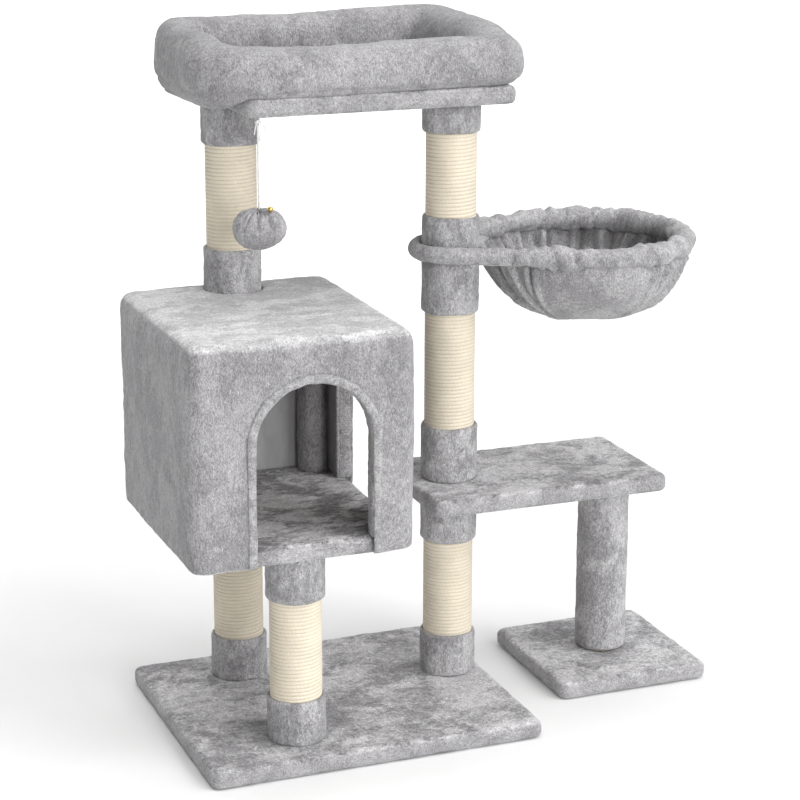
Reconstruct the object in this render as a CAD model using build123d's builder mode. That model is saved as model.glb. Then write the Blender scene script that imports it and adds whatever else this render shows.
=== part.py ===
from build123d import *
import os
from math import acos, cos, degrees, radians, sin

os.makedirs("parts", exist_ok=True)

# A free-standing cat tree. Units are millimetres, +Z is up, and the origin is on the
# floor under the middle of the whole object. The condo is at the left, the basket at
# the right, and the front faces -Y.

# ---------------------------------------------------------------- driving dimensions

board_t = 18.0                       # MDF of every deck
plush_t = 3.25                       # plush glued round a deck
deck_t = board_t + 2 * plush_t
deck_corner_r = 14.0
plush_edge_r = 3.0                   # the top edge of the plush on a deck
plush_lap = 30.0                     # plush turned in under a base
backing_corner_r = 10.0
post_len = 264.0                     # every post segment is the same length
post_r = 35.0                        # outside of the sisal
sleeve_r = 39.4                      # outside of the plush sleeves
tube_r = 30.5
tube_wall = 4.0
step_wrap_r = 36.8                   # the step's post is wrapped in plush all over
low_sleeve_h, high_sleeve_h = 61.5, 65.0    # at a lower post's foot, and at its top
slip = 0.2                           # gap left between round things that nest

# Centres of the posts, seen from above.
left_post = (-243.5, 85.0)
front_post = (-240.0, -155.0)
right_post = (39.0, -8.0)
step_post = (284.0, -6.0)

# Decks: centre and size, plush included.
base_centre, base_size = (-146.5, -38.0), (470.0, 394.0)
small_base_centre, small_base_size = (280.5, -12.0), (232.0, 238.0)
step_centre, step_size = (154.0, -10.5), (353.0, 211.0)
perch_centre, perch_size = (-78.0, 81.5), (379.0, 297.0)

# Heights of the stack.
base_top = deck_t
tier = base_top + post_len           # underside of the condo and of the step
step_top = tier + deck_t
mid_joint = step_top + post_len      # where the right post's upper tubes meet
perch_bottom = mid_joint + post_len
perch_top = perch_bottom + deck_t

# Condo: a box of MDF panels in a padded plush cover.
condo_centre, condo_size = (-243.5, -42.0), (306.0, 344.0)
condo_top = 586.0
condo_pad = 8.0                      # padded plush on the walls
condo_corner_r = 22.0
condo_edge_r = 20.0
condo_floor_size = (296.5, 334.5)
panel_t = 9.0
roof_top = perch_bottom - post_len   # MDF of the roof, under its padding
arch_w = 158.0
arch_spring = 449.0                  # height at which the doorway's arch begins
front_arch_x = -231.5
side_arch_y = -42.0
trim_band = 11.5
trim_t = 2.0

# Perch bolster: a stuffed ring, longer than its deck at the left.
bolster_centre, bolster_size = (-98.5, 82.5), (460.0, 305.0)
bolster_hole_centre, bolster_hole_size = (-102.0, 85.0), (337.0, 200.0)
bolster_corner_r = (95.0, 48.0)      # at its left, and at its right
bolster_hole_corner_r = (60.0, 32.0)
bolster_round_r = 24.0               # how round the stuffed tube is
bolster_top = 942.0

# Basket: a wire hoop that narrows to a loop round the right post.
hoop_centre = (239.5, -8.0)
hoop_r = 140.0
hoop_z = 639.0
loop_r = 48.7
rim_r = 15.0                         # plush tube on the wire, round the bowl
neck_r, neck_half_h = 9.0, 12.0      # flatter tube on the wire, round the post
strand_share = 0.55                  # how much of each straight strand the rim covers
wire_r = 2.5
bowl_r = 150.0
bowl_depth = 99.0
bowl_t = 4.0
bowl_fullness = 2.0                  # 2 is an ellipse; more would be fuller

# Toy: a pompom on an elastic string under the perch's front left corner.
toy_x, toy_y = -251.5, -60.0
knot_r = 4.0
cord_r = 1.5
pompom_z = 698.0
pompom_r, pompom_half_h = 35.5, 28.0
bell_r = 3.7
bell_slot = 0.8

# Hardware: the same M8 bolt everywhere, with a washer, into a plug in the tube's end.
bolt_r = 4.0
bolt_hole_r = 4.6
head_across_flats = 13.0
head_h = 5.3
washer_r = 9.0
washer_t = 1.5
pocket_r = 11.0
pocket_depth = 8.0
bolt_bite = 12.0                     # how far a bolt or stud reaches into a plug
plug_t = 15.0
plug_recess = 0.5                    # a plug stops just short of its tube's end
insert_r = 6.0


# ---------------------------------------------------------------- shared shapes

def at(centre, z):
    return Plane((centre[0], centre[1], z))


def inset(size, amount):
    return size[0] - 2 * amount, size[1] - 2 * amount


def uneven_rectangle(size, corner_r):
    """A rectangle with one corner radius at its left and another at its right."""
    with BuildSketch() as outline:
        Rectangle(*size)
        fillet(outline.vertices().sort_by(Axis.X)[:2], corner_r[0])
        fillet(outline.vertices().sort_by(Axis.X)[-2:], corner_r[1])
    return outline.sketch


def save(piece, name):
    piece.label = name
    export_step(piece, f"parts/{name}.step")


def ring(centre, inner_r, outer_r, bottom, top):
    with BuildPart() as band:
        with BuildSketch(at(centre, bottom)):
            Circle(outer_r)
            Circle(inner_r, mode=Mode.SUBTRACT)
        extrude(amount=top - bottom)
    return band.part


def deck_board(
    centre, size, bottom, corner_r=deck_corner_r, pockets_above=(), pockets_below=(), studs=()
):
    """An MDF board with bolt pockets in its top or underside, and plain stud holes."""
    top = bottom + board_t
    with BuildPart() as board:
        with BuildSketch(at(centre, bottom)):
            RectangleRounded(*inset(size, plush_t), corner_r - plush_t)
        extrude(amount=board_t)
        for x, y in pockets_above:
            with Locations((x, y, top)):
                CounterBoreHole(bolt_hole_r, pocket_r, pocket_depth)
        for x, y in pockets_below:
            with Locations(Location((x, y, bottom), (180, 0, 0))):
                CounterBoreHole(bolt_hole_r, pocket_r, pocket_depth)
        for x, y in studs:
            with Locations((x, y, top)):
                Hole(bolt_hole_r)
    return board.part


def deck_cover(
    centre, size, bottom, corner_r=deck_corner_r, open_below=False, wide_holes=(), narrow_holes=()
):
    """Plush wrapped round a deck board, with holes where bolts and studs pass."""
    with BuildPart() as cover:
        with BuildSketch(at(centre, bottom)):
            RectangleRounded(*size, corner_r)
        extrude(amount=deck_t)
        fillet(cover.edges().group_by(Axis.Z)[-1], plush_edge_r)
        with BuildSketch(at(centre, bottom + plush_t)):
            RectangleRounded(*inset(size, plush_t), corner_r - plush_t)
        extrude(amount=board_t, mode=Mode.SUBTRACT)
        if open_below:
            with BuildSketch(at(centre, bottom)):
                RectangleRounded(*inset(size, plush_lap), backing_corner_r)
            extrude(amount=plush_t, mode=Mode.SUBTRACT)
        for x, y in narrow_holes:
            with Locations((x, y, bottom + deck_t)):
                Hole(bolt_hole_r)
        for x, y in wide_holes:
            with Locations((x, y, bottom + deck_t)):
                Hole(pocket_r, plush_t + 1)
            with Locations((x, y, bottom + plush_t + 1)):
                Hole(bolt_hole_r, plush_t + 2)
    return cover.part


def deck_backing(centre, size, holes):
    """Felt that closes the underside of a base, inside the plush's lap."""
    with BuildPart() as backing:
        with BuildSketch(at(centre, 0)):
            RectangleRounded(*inset(size, plush_lap + slip), backing_corner_r - slip)
            with Locations(*[(x - centre[0], y - centre[1]) for x, y in holes]):
                Circle(pocket_r, mode=Mode.SUBTRACT)
        extrude(amount=plush_t)
    return backing.part


def arch_plane(where, side):
    """A plane on a wall's face, standing on the condo's floor and facing outwards."""
    if side == "front":
        return Plane((front_arch_x, where, step_top), x_dir=(1, 0, 0), z_dir=(0, -1, 0))
    return Plane((where, side_arch_y, step_top), x_dir=(0, 1, 0), z_dir=(1, 0, 0))


def arch_slab(plane, half_w, depth, hole_half_w=0.0, below=0.0):
    """A doorway's outline as a slab, or only its border when a hole is given."""
    spring = arch_spring - step_top
    with BuildPart() as slab:
        with BuildSketch(plane):
            with Locations((0, -below)):
                Rectangle(2 * half_w, spring + below, align=(Align.CENTER, Align.MIN))
            with Locations((0, spring)):
                Circle(half_w)
            if hole_half_w:
                with Locations((0, -below)):
                    Rectangle(
                        2 * hole_half_w, spring + below,
                        align=(Align.CENTER, Align.MIN), mode=Mode.SUBTRACT,
                    )
                with Locations((0, spring)):
                    Circle(hole_half_w, mode=Mode.SUBTRACT)
        extrude(amount=depth)
    return slab.part


# ---------------------------------------------------------------- decks

base_bolts_at = (left_post, front_post, right_post)
base_board = deck_board(base_centre, base_size, plush_t, pockets_below=base_bolts_at)
save(base_board, "base_board")
base_cover = deck_cover(
    base_centre, base_size, 0, open_below=True, narrow_holes=base_bolts_at
)
save(base_cover, "base_cover")
save(deck_backing(base_centre, base_size, base_bolts_at), "base_backing")

small_base_board = deck_board(
    small_base_centre, small_base_size, plush_t, pockets_below=(step_post,)
)
save(small_base_board, "small_base_board")
small_base_cover = deck_cover(
    small_base_centre, small_base_size, 0, open_below=True, narrow_holes=(step_post,)
)
save(small_base_cover, "small_base_cover")
save(deck_backing(small_base_centre, small_base_size, (step_post,)), "small_base_backing")

step_board = deck_board(
    step_centre, step_size, tier + plush_t, pockets_above=(step_post,), studs=(right_post,)
)
save(step_board, "step_board")
step_cover = deck_cover(
    step_centre, step_size, tier, wide_holes=(step_post,), narrow_holes=(right_post,)
)
save(step_cover, "step_cover")

perch_bolts_at = (left_post, right_post)
perch_board = deck_board(
    perch_centre, perch_size, perch_bottom + plush_t, pockets_above=perch_bolts_at
)
save(perch_board, "perch_board")
perch_cover = deck_cover(perch_centre, perch_size, perch_bottom, wide_holes=perch_bolts_at)
save(perch_cover, "perch_cover")

with BuildPart() as perch_bolster:
    with BuildSketch(at(bolster_centre, perch_top)):
        add(uneven_rectangle(bolster_size, bolster_corner_r))
        with Locations(
            (
                bolster_hole_centre[0] - bolster_centre[0],
                bolster_hole_centre[1] - bolster_centre[1],
            )
        ):
            add(
                uneven_rectangle(bolster_hole_size, bolster_hole_corner_r),
                mode=Mode.SUBTRACT,
            )
    extrude(amount=bolster_top - perch_top)
    fillet(perch_bolster.edges().group_by(Axis.Z)[-1], bolster_round_r)
    fillet(perch_bolster.edges().group_by(Axis.Z)[0], bolster_round_r)
save(perch_bolster.part, "perch_bolster")


# ---------------------------------------------------------------- condo

condo_floor_corner_r = condo_corner_r - condo_pad + plush_t
condo_floor_board = deck_board(
    condo_centre, condo_floor_size, tier + plush_t, corner_r=condo_floor_corner_r,
    pockets_above=(left_post, front_post),
)
save(condo_floor_board, "condo_floor_board")
condo_floor_cover = deck_cover(
    condo_centre, condo_floor_size, tier, corner_r=condo_floor_corner_r,
    wide_holes=(left_post, front_post),
)
save(condo_floor_cover, "condo_floor_cover")

shell_size = inset(condo_size, condo_pad)           # outside of the MDF walls
wall_top = roof_top - board_t
wall_h = wall_top - step_top
room_size = inset(shell_size, panel_t)              # inside of the walls
front_face = condo_centre[1] - condo_size[1] / 2    # outside of the front cover
right_face = condo_centre[0] + condo_size[0] / 2
front_room = condo_centre[1] - room_size[1] / 2     # inside of the front wall
right_room = condo_centre[0] + room_size[0] / 2
cut_half_w = arch_w / 2 + trim_t + slip             # hole that takes a lined doorway

with BuildPart() as condo_roof_board:
    with BuildSketch(at(condo_centre, wall_top)):
        RectangleRounded(*shell_size, condo_corner_r - condo_pad)
    extrude(amount=board_t)
    with Locations(Location((left_post[0], left_post[1], wall_top), (180, 0, 0))):
        CounterBoreHole(bolt_hole_r, pocket_r, pocket_depth)
save(condo_roof_board.part, "condo_roof_board")

front_arch_cut = arch_slab(
    arch_plane(front_room + 1, "front"), cut_half_w, condo_pad + panel_t + 2, below=deck_t + 1
)
side_arch_cut = arch_slab(
    arch_plane(right_room - 1, "side"), cut_half_w, condo_pad + panel_t + 2, below=deck_t + 1
)

with BuildPart() as condo_front_panel:
    with BuildSketch(at((condo_centre[0], front_room - panel_t / 2), step_top)):
        Rectangle(shell_size[0], panel_t)
    extrude(amount=wall_h)
    add(front_arch_cut, mode=Mode.SUBTRACT)
save(condo_front_panel.part, "condo_front_panel")

with BuildPart() as condo_back_panel:
    with BuildSketch(
        at((condo_centre[0], front_room + room_size[1] + panel_t / 2), step_top)
    ):
        Rectangle(shell_size[0], panel_t)
    extrude(amount=wall_h)
save(condo_back_panel.part, "condo_back_panel")

with BuildPart() as condo_left_panel:
    with BuildSketch(
        at((right_room - room_size[0] - panel_t / 2, condo_centre[1]), step_top)
    ):
        Rectangle(panel_t, room_size[1])
    extrude(amount=wall_h)
save(condo_left_panel.part, "condo_left_panel")

with BuildPart() as condo_right_panel:
    with BuildSketch(at((right_room + panel_t / 2, condo_centre[1]), step_top)):
        Rectangle(panel_t, room_size[1])
    extrude(amount=wall_h)
    add(side_arch_cut, mode=Mode.SUBTRACT)
save(condo_right_panel.part, "condo_right_panel")

with BuildPart() as condo_cover:
    with BuildSketch(at(condo_centre, tier)):
        RectangleRounded(*condo_size, condo_corner_r)
    extrude(amount=condo_top - tier)
    fillet(condo_cover.edges().group_by(Axis.Z)[-1], condo_edge_r)
    with BuildSketch(at(condo_centre, tier)):
        Rectangle(*shell_size)
    extrude(amount=roof_top - tier, mode=Mode.SUBTRACT)
    with BuildSketch(at(condo_centre, tier)):
        RectangleRounded(*inset(condo_floor_size, -slip), condo_floor_corner_r)
    extrude(amount=deck_t + slip, mode=Mode.SUBTRACT)
    with Locations((left_post[0], left_post[1], condo_top)):
        Hole(sleeve_r + slip)
    add(front_arch_cut, mode=Mode.SUBTRACT)
    add(side_arch_cut, mode=Mode.SUBTRACT)
save(condo_cover.part, "condo_cover")


def arch_trim(room_face, outer_face, side):
    """Binding round a doorway: it lines the cut edge and laps onto both faces."""
    outwards = -1 if side == "front" else 1
    depth = abs(outer_face - room_face) + 2 * trim_t
    inner = room_face - outwards * trim_t
    half_w = arch_w / 2
    lining = arch_slab(arch_plane(inner, side), half_w + trim_t, depth, half_w)
    laps = [
        arch_slab(arch_plane(face, side), half_w + trim_band, trim_t, half_w)
        for face in (inner, outer_face)
    ]
    with BuildPart() as trim:
        add(lining)
        add(laps)
    return trim.part


save(arch_trim(front_room, front_face, "front"), "front_arch_trim")
save(arch_trim(right_room, right_face, "side"), "side_arch_trim")

corner_post_r = 20.5
corner_post_at = (
    right_room - corner_post_r - 0.5,
    front_room + room_size[1] - corner_post_r - 0.5,
)
with BuildPart() as condo_corner_post:
    with BuildSketch(at(corner_post_at, step_top)):
        Circle(corner_post_r)
    extrude(amount=wall_h)
save(condo_corner_post.part, "condo_corner_post")


# ---------------------------------------------------------------- posts

segments = {
    "left_lower": (left_post, base_top),
    "front": (front_post, base_top),
    "right_lower": (right_post, base_top),
    "right_middle": (right_post, step_top),
    "right_upper": (right_post, mid_joint),
    "left_upper": (left_post, roof_top),
    "step": (step_post, base_top),
}
wrap_margin = 2.0                    # bare tube left at each end of a wrap
for name, (centre, bottom) in segments.items():
    top = bottom + post_len
    save(ring(centre, tube_r - tube_wall, tube_r, bottom, top), f"{name}_tube")
    wrap_r, wrap_name = (
        (step_wrap_r, "step_post_wrap") if name == "step" else (post_r, f"{name}_sisal")
    )
    wrap = ring(centre, tube_r + slip, wrap_r, bottom + wrap_margin, top - wrap_margin)
    save(wrap, wrap_name)

low_sleeve_top = base_top + low_sleeve_h
high_sleeve_bottom = tier - high_sleeve_h
sleeves = {
    "left_lower_base_sleeve": (left_post, base_top, low_sleeve_top),
    "left_lower_top_sleeve": (left_post, high_sleeve_bottom, tier),
    "front_base_sleeve": (front_post, base_top, low_sleeve_top),
    "front_top_sleeve": (front_post, high_sleeve_bottom, tier),
    "right_lower_base_sleeve": (right_post, base_top, low_sleeve_top),
    "right_lower_top_sleeve": (right_post, high_sleeve_bottom, tier),
    "right_middle_base_sleeve": (right_post, step_top, step_top + 78.0),
    "right_joint_sleeve": (right_post, mid_joint - 25.0, mid_joint + 110.0),
    "right_upper_top_sleeve": (right_post, perch_bottom - 40.0, perch_bottom),
    "left_upper_base_sleeve": (left_post, roof_top, roof_top + 69.0),
    "left_upper_top_sleeve": (left_post, perch_bottom - 54.0, perch_bottom),
}
for name, (centre, bottom, top) in sleeves.items():
    save(ring(centre, post_r + slip, sleeve_r, bottom, top), name)


# ---------------------------------------------------------------- hardware

plug_planes = [
    at(centre, z)
    for centre, bottom in segments.values()
    for z in (bottom + plug_recess, bottom + post_len - plug_t - plug_recess)
]
with BuildPart() as post_plugs:
    with BuildSketch(*plug_planes):
        Circle(tube_r - tube_wall - slip)
        Circle(insert_r + slip, mode=Mode.SUBTRACT)
    extrude(amount=plug_t)
save(post_plugs.part, "post_plugs")

with BuildPart() as post_inserts:
    with BuildSketch(*plug_planes):
        Circle(insert_r)
        Circle(bolt_r + slip, mode=Mode.SUBTRACT)
    extrude(amount=plug_t)
save(post_inserts.part, "post_inserts")

# Each bolt: where it stands, the height of its pocket's floor, the end of the tube
# that it screws into, and +1 if it points up.
bolts = [(post, plush_t + pocket_depth, base_top, 1) for post in (*base_bolts_at, step_post)]
deck_pocket = plush_t + board_t - pocket_depth      # above a deck's underside
bolts += [(post, tier + deck_pocket, tier, -1) for post in (left_post, front_post, step_post)]
bolts += [(left_post, wall_top + pocket_depth, roof_top, 1)]
bolts += [(post, perch_bottom + deck_pocket, perch_bottom, -1) for post in perch_bolts_at]


def bolt_plane(centre, z, up):
    return Plane((centre[0], centre[1], z), z_dir=(0, 0, up))


with BuildPart() as post_bolts:
    for centre, floor, tube_end, up in bolts:
        seat = floor - up * washer_t
        with BuildSketch(bolt_plane(centre, seat, -up)):
            RegularPolygon(head_across_flats / 2, 6, major_radius=False)
        extrude(amount=head_h)
        with BuildSketch(bolt_plane(centre, seat, up)):
            Circle(bolt_r)
        extrude(amount=abs(tube_end - seat) + bolt_bite)
save(post_bolts.part, "post_bolts")

with BuildPart() as post_washers:
    for centre, floor, _, up in bolts:
        with BuildSketch(bolt_plane(centre, floor, -up)):
            Circle(washer_r)
            Circle(bolt_r + slip, mode=Mode.SUBTRACT)
        extrude(amount=washer_t)
save(post_washers.part, "post_washers")

with BuildPart() as joining_studs:
    for bottom, top in ((tier, step_top), (mid_joint, mid_joint)):
        with BuildSketch(at(right_post, bottom - bolt_bite)):
            Circle(bolt_r)
        extrude(amount=top - bottom + 2 * bolt_bite)
save(joining_studs.part, "joining_studs")


# ---------------------------------------------------------------- basket

# Seen from above the hoop is two arcs joined by their outer tangents.
reach = hoop_centre[0] - right_post[0]
touch_angle = degrees(acos((loop_r - hoop_r) / reach))
hoop_plane = Plane.XY.offset(hoop_z)
with BuildLine(hoop_plane) as hoop_line:
    big_arc = CenterArc(hoop_centre, hoop_r, -touch_angle, 2 * touch_angle)
    small_arc = CenterArc(right_post, loop_r, touch_angle, 360 - 2 * touch_angle)
    Line(big_arc @ 1, small_arc @ 0)
    Line(small_arc @ 1, big_arc @ 0)
hoop_start = Plane(hoop_line.line @ 0, z_dir=hoop_line.line % 0)

with BuildPart() as basket_hoop:
    add(hoop_line.line)
    with BuildSketch(hoop_start):
        Circle(wire_r)
    sweep()
save(basket_hoop.part, "basket_hoop")

# The rim's thick tube covers the big arc and part of both strands; the neck's the rest.
front_split = big_arc @ 0 + strand_share * (small_arc @ 1 - big_arc @ 0)
back_split = big_arc @ 1 + strand_share * (small_arc @ 0 - big_arc @ 1)
with BuildLine(hoop_plane) as rim_line:
    rim_arc = CenterArc(hoop_centre, hoop_r, -touch_angle, 2 * touch_angle)
    front_strand = Line(front_split, rim_arc @ 0)
    Line(rim_arc @ 1, back_split)
with BuildLine(hoop_plane) as neck_line:
    loop = CenterArc(right_post, loop_r, touch_angle, 360 - 2 * touch_angle)
    back_strand = Line(back_split, loop @ 0)
    Line(loop @ 1, front_split)

with BuildPart() as basket_rim:
    with BuildSketch(Plane(front_split, x_dir=(0, 0, 1), z_dir=front_strand % 0)):
        Circle(rim_r)
        Circle(wire_r + slip, mode=Mode.SUBTRACT)
    sweep(path=rim_line.wire())
save(basket_rim.part, "basket_rim")

with BuildPart() as basket_neck:
    with BuildSketch(Plane(back_split, x_dir=(0, 0, 1), z_dir=back_strand % 0)):
        Ellipse(neck_half_h, neck_r)
        Circle(wire_r + slip, mode=Mode.SUBTRACT)
    sweep(path=neck_line.wire())
save(basket_neck.part, "basket_neck")

bowl_top = hoop_z - rim_r - slip


def bowl_curve(radius, depth):
    """Points down a bowl's side: a full ellipse about the hoop's axis."""
    steps = 8
    points = []
    for i in range(steps + 1):
        turn = radians(90 * i / steps)
        across = cos(turn) ** (2 / bowl_fullness)
        down = sin(turn) ** (2 / bowl_fullness)
        points.append((hoop_centre[0] + radius * across, bowl_top - depth * down))
    return points


bowl_plane = Plane((0, hoop_centre[1], 0), x_dir=(1, 0, 0), z_dir=(0, -1, 0))
with BuildPart() as basket_bowl:
    with BuildSketch(bowl_plane):
        with BuildLine():
            outer_side = Spline(*bowl_curve(bowl_r, bowl_depth))
            inner_side = Spline(*bowl_curve(bowl_r - bowl_t, bowl_depth - bowl_t))
            Line(outer_side @ 0, inner_side @ 0)
            Line(outer_side @ 1, inner_side @ 1)
        make_face()
    revolve(axis=Axis((hoop_centre[0], hoop_centre[1], 0), (0, 0, 1)))
save(basket_bowl.part, "basket_bowl")


# ---------------------------------------------------------------- toy

joint_gap = 0.3                      # the knot turns clear of the perch and the cord
knot_z = perch_bottom - joint_gap - knot_r
cord_top = knot_z - knot_r - joint_gap
pompom_top = pompom_z + pompom_half_h

with BuildPart() as toy_knot:
    with Locations((toy_x, toy_y, knot_z)):
        Sphere(knot_r)
save(toy_knot.part, "toy_knot")

with BuildPart() as toy_cord:
    with BuildSketch(at((toy_x, toy_y), pompom_top)):
        Circle(cord_r)
    extrude(amount=cord_top - pompom_top)
save(toy_cord.part, "toy_cord")

toy_plane = Plane((toy_x, toy_y, pompom_z), x_dir=(1, 0, 0), z_dir=(0, -1, 0))
pole_angles = [radians(30 * i) for i in range(7)]
with BuildPart() as toy_pompom:
    with BuildSketch(toy_plane):
        with BuildLine():
            side = Spline(
                *[(pompom_r * sin(t), pompom_half_h * cos(t)) for t in pole_angles],
                tangents=((1, 0), (-1, 0)),
            )
            Line(side @ 1, side @ 0)
        make_face()
    revolve(axis=Axis((toy_x, toy_y, 0), (0, 0, 1)))
save(toy_pompom.part, "toy_pompom")

# The bell sits on the pompom's upper right front, just clear of it.
bell_side, bell_front, bell_gap = 9.0, -16.0, 0.15
bell_up = pompom_half_h * (1 - (bell_side**2 + bell_front**2) / pompom_r**2) ** 0.5
bell_out = Vector(
    bell_side / pompom_r**2, bell_front / pompom_r**2, bell_up / pompom_half_h**2
).normalized()
bell_centre = Vector(toy_x + bell_side, toy_y + bell_front, pompom_z + bell_up)
bell_centre += bell_out * (bell_r + bell_gap)
with BuildPart() as toy_bell:
    with Locations(bell_centre):
        Sphere(bell_r)
        Box(
            2 * bell_r, bell_slot, bell_r,
            align=(Align.CENTER, Align.CENTER, Align.MAX), mode=Mode.SUBTRACT,
        )
save(toy_bell.part, "toy_bell")
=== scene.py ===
import itertools
import math

import bmesh
import bpy
import numpy as np
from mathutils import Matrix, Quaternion, Vector


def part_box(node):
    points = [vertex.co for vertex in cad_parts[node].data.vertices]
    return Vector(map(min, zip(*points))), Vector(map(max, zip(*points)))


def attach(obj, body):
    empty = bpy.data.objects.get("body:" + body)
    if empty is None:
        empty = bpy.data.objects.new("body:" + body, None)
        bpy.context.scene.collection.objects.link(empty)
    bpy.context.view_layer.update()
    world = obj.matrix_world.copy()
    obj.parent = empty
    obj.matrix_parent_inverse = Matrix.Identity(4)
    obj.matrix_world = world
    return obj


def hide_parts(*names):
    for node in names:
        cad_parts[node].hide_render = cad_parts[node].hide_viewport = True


# A cat tree: plush, sisal, a basket and a hanging pompom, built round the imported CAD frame.
# Units are metres in the row frame: +Z up, -Y to the front, +X to the basket's side.

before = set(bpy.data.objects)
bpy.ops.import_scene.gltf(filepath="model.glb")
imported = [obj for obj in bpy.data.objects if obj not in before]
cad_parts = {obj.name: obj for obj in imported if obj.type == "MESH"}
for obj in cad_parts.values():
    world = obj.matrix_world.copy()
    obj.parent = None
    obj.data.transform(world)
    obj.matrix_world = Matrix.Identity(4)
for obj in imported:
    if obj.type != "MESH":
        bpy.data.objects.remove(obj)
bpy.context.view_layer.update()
MM = 0.001

# ---------------- camera, floor and light


def add_camera():
    target = Vector((-0.1301, -0.2502, 0.5053))
    azimuth, elevation, distance = math.radians(-21.54), math.radians(15.94), 2.908
    roll = 0.0027
    back = Vector((
        math.sin(azimuth) * math.cos(elevation),
        -math.cos(azimuth) * math.cos(elevation),
        math.sin(elevation),
    ))
    data = bpy.data.cameras.new("camera")
    data.sensor_width = 36.0
    data.lens = 103.7
    camera = bpy.data.objects.new("camera", data)
    bpy.context.scene.collection.objects.link(camera)
    camera.location = target + back * distance
    camera.rotation_mode = "QUATERNION"
    turn = Quaternion((0, 0, 1), roll)
    camera.rotation_quaternion = (-back).to_track_quat("-Z", "Y") @ turn
    bpy.context.scene.camera = camera


def add_sun(name, towards, strength, softness):
    data = bpy.data.lights.new(name, "SUN")
    data.energy = strength
    data.angle = softness
    sun = bpy.data.objects.new(name, data)
    bpy.context.scene.collection.objects.link(sun)
    sun.rotation_mode = "QUATERNION"
    sun.rotation_quaternion = Vector(towards).to_track_quat("Z", "Y")


add_camera()

# ---------------- noise on points


def lattice(ix, iy, iz, seed):
    """A repeatable value from -1 to 1 for each whole-numbered lattice point."""
    n = (ix * 73856093) ^ (iy * 19349663) ^ (iz * 83492791) ^ (seed * 40503)
    n = ((n ^ (n >> 13)) * 1274126177) & 0x7FFFFFFF
    return ((n ^ (n >> 15)) & 0xFFFF) / 32767.5 - 1.0


def noise3(points, cell, seed=0):
    """Smooth noise from -1 to 1 whose blobs are about a cell across."""
    q = points / cell
    base = np.floor(q).astype(np.int64)
    f = q - base
    f = f * f * (3 - 2 * f)
    total = np.zeros(len(points))
    for corner in itertools.product((0, 1), repeat=3):
        weight = np.ones(len(points))
        for axis, side in enumerate(corner):
            weight *= f[:, axis] if side else 1 - f[:, axis]
        total += weight * lattice(*(base[:, k] + corner[k] for k in range(3)), seed)
    return total


def pile(points, seed, tuft=1.0):
    """How far plush stands out: soft waves, tufts, and fine clumps, in metres."""
    waves = noise3(points, 0.030, seed) * 0.5
    tufts = noise3(points, 0.011, seed + 1) * 0.42
    clumps = noise3(points, 0.0055, seed + 2) * 0.34
    return (waves + tufts + clumps) * tuft * MM


# ---------------- lines and angles


def wrapped(angle):
    """The same angle, from -pi to pi."""
    return (angle + np.pi) % (2 * np.pi) - np.pi


def full_turn(steps):
    return 2 * np.pi * np.arange(steps) / steps


def bump_at(off, width):
    """1 where off is nothing, falling away to 0 over about a width."""
    return np.exp(-((off / width) ** 2))


def soft_power(wave, power):
    """A sine or cosine squared off, for sections between a circle and a rectangle."""
    return np.sign(wave) * np.abs(wave) ** power


def distance_along(points):
    return np.r_[0, np.cumsum(np.linalg.norm(np.diff(points, axis=0), axis=1))]


def directions(points):
    ahead = np.gradient(points, axis=0)
    return ahead / np.linalg.norm(ahead, axis=1)[:, None]


# ---------------- meshes


def new_object(name, verts, faces):
    mesh = bpy.data.meshes.new(name)
    mesh.from_pydata([tuple(v) for v in verts], [], faces)
    mesh.update()
    piece = bpy.data.objects.new(name, mesh)
    bpy.context.scene.collection.objects.link(piece)
    return piece


def smooth(piece):
    piece.data.polygons.foreach_set("use_smooth", [True] * len(piece.data.polygons))
    piece.data.update()


def coords(piece):
    out = np.empty(len(piece.data.vertices) * 3)
    piece.data.vertices.foreach_get("co", out)
    return out.reshape(-1, 3)


def normals(piece):
    out = np.empty(len(piece.data.vertices) * 3)
    piece.data.vertices.foreach_get("normal", out)
    return out.reshape(-1, 3)


def set_coords(piece, points):
    piece.data.vertices.foreach_set("co", np.asarray(points).ravel())
    piece.data.update()


def push(piece, amount):
    """Moves each point along its normal by amount(points, normals)."""
    points, out = coords(piece), normals(piece)
    set_coords(piece, points + out * amount(points, out)[:, None])


def bake_modifiers(piece):
    """Replaces a piece's mesh by what its modifiers make of it."""
    depsgraph = bpy.context.evaluated_depsgraph_get()
    done = bpy.data.meshes.new_from_object(piece.evaluated_get(depsgraph))
    piece.modifiers.clear()
    old, piece.data = piece.data, done
    bpy.data.meshes.remove(old)
    done.name = piece.name


def remesh(piece, voxel):
    mod = piece.modifiers.new("remesh", "REMESH")
    mod.mode = "VOXEL"
    mod.voxel_size = voxel
    bake_modifiers(piece)


def grid_faces(rows, cols, wrap_rows=False, wrap_cols=False):
    faces = []
    for i in range(rows if wrap_rows else rows - 1):
        for j in range(cols if wrap_cols else cols - 1):
            a, b = i * cols, ((i + 1) % rows) * cols
            k = (j + 1) % cols
            faces.append((a + j, a + k, b + k, b + j))
    return faces


def rounded_rect(centre, size, radius, right_radius=None, steps=8):
    """Points anticlockwise round a rectangle with round corners."""
    right = radius if right_radius is None else right_radius
    points = []
    for sx, sy, start in ((1, 1, 0), (-1, 1, 90), (-1, -1, 180), (1, -1, 270)):
        r = right if sx > 0 else radius
        cx, cy = sx * (size[0] / 2 - r), sy * (size[1] / 2 - r)
        for i in range(steps + 1):
            a = math.radians(start + 90 * i / steps)
            points.append((centre[0] + cx + r * math.cos(a), centre[1] + cy + r * math.sin(a)))
    return points


def face_outward(piece):
    mesh = bmesh.new()
    mesh.from_mesh(piece.data)
    bmesh.ops.recalc_face_normals(mesh, faces=mesh.faces)
    mesh.to_mesh(piece.data)
    mesh.free()


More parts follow.
